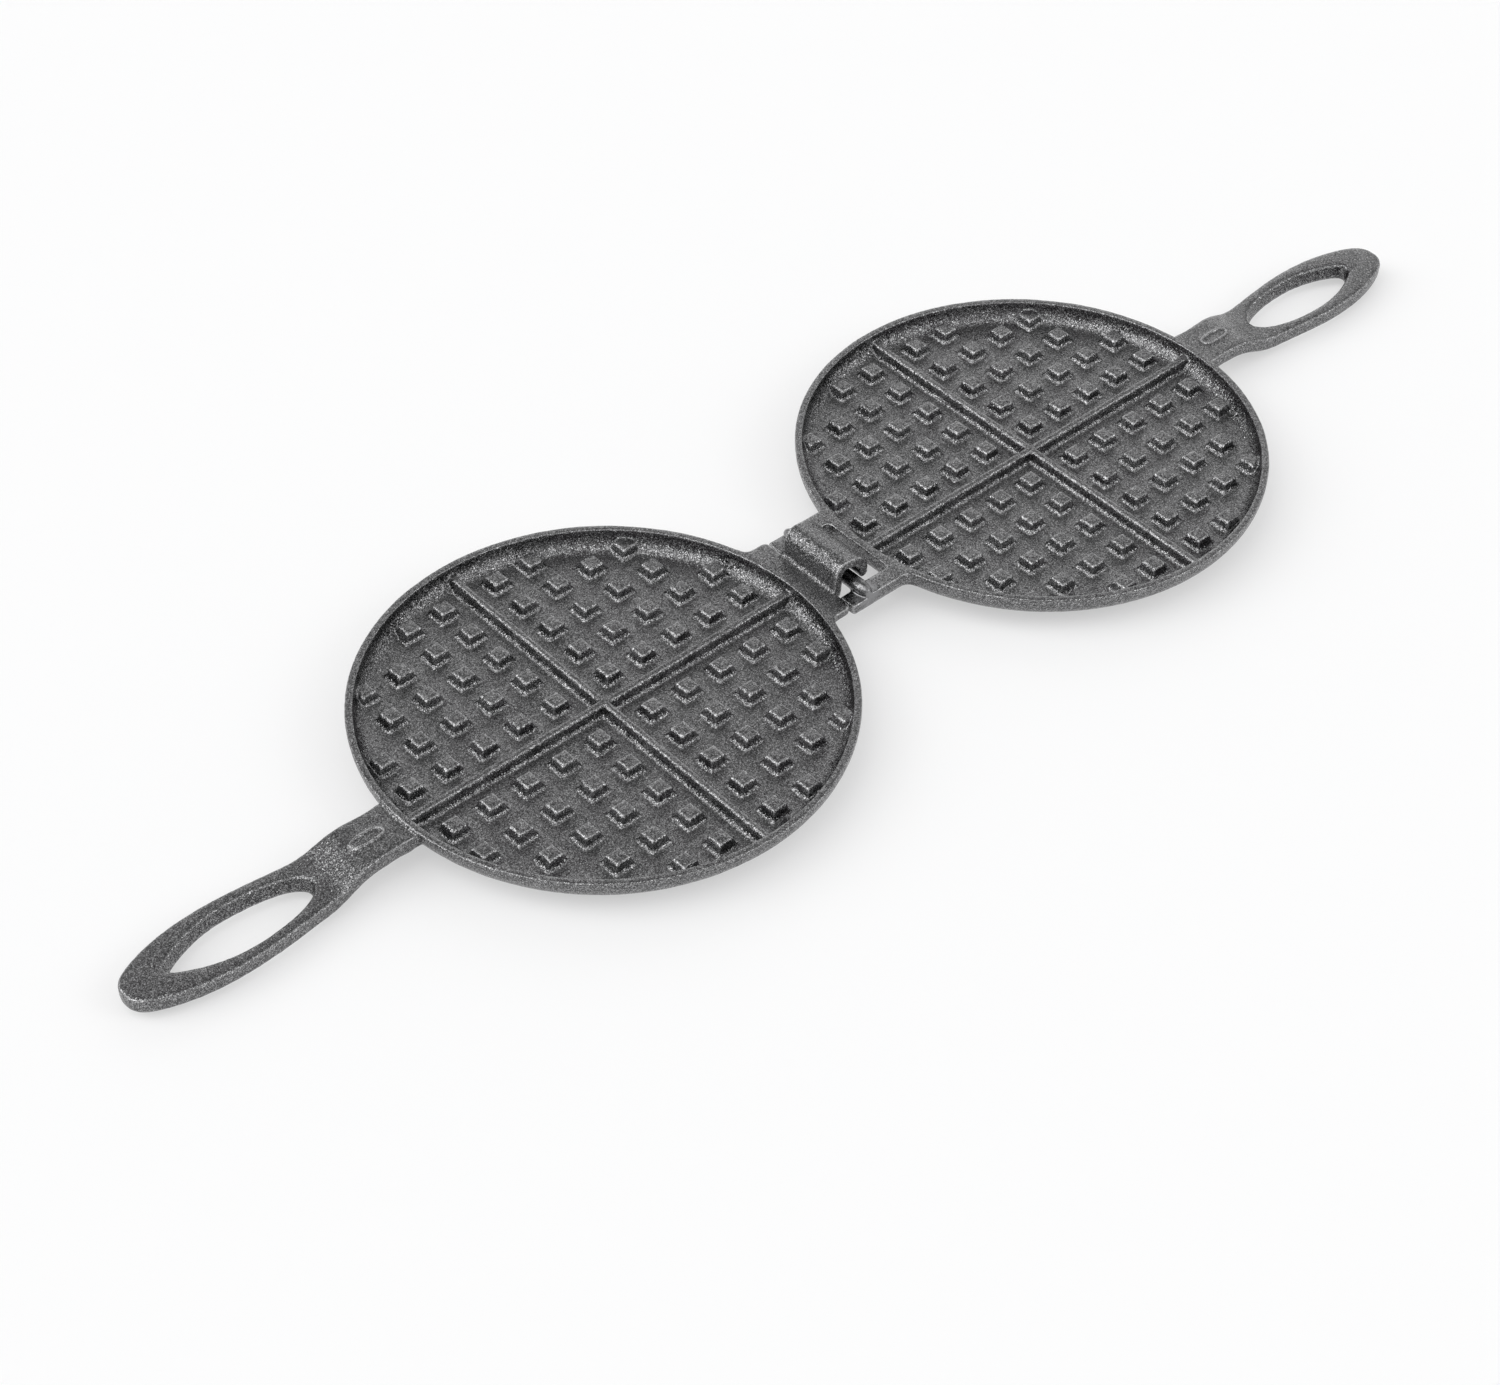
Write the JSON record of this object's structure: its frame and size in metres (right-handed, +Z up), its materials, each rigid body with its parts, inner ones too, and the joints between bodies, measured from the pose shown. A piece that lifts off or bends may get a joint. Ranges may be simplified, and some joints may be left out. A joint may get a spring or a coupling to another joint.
{
  "type": "stovetop waffle iron",
  "caption": "Round cast iron waffle iron that hinges open on a hook and a bar, with a loop handle on each half.",
  "frame": {"origin": "on the surface that the open iron rests on, straight under the hinge axis and midway along it", "axes": "+X along the open iron, from the hook half's handle to the bar half's handle; +Y along the hinge axis; +Z up, out of the dishes"},
  "size_m": [0.67, 0.197, 0.0304],
  "materials": {
    "cast_iron": "sand-cast and seasoned, satin black-grey"
  },
  "bodies": {
    "hook_half": {"hook_griddle": "cast_iron"},
    "bar_half": {"bar_griddle": "cast_iron"}
  },
  "joints": [
    {"name": "hinge", "type": "hinge", "parent": "hook_half", "child": "bar_half", "pos_m": [0, 0, 0.0182], "axis": [0, -1, 0], "range_deg": [0, 180]}
  ]
}
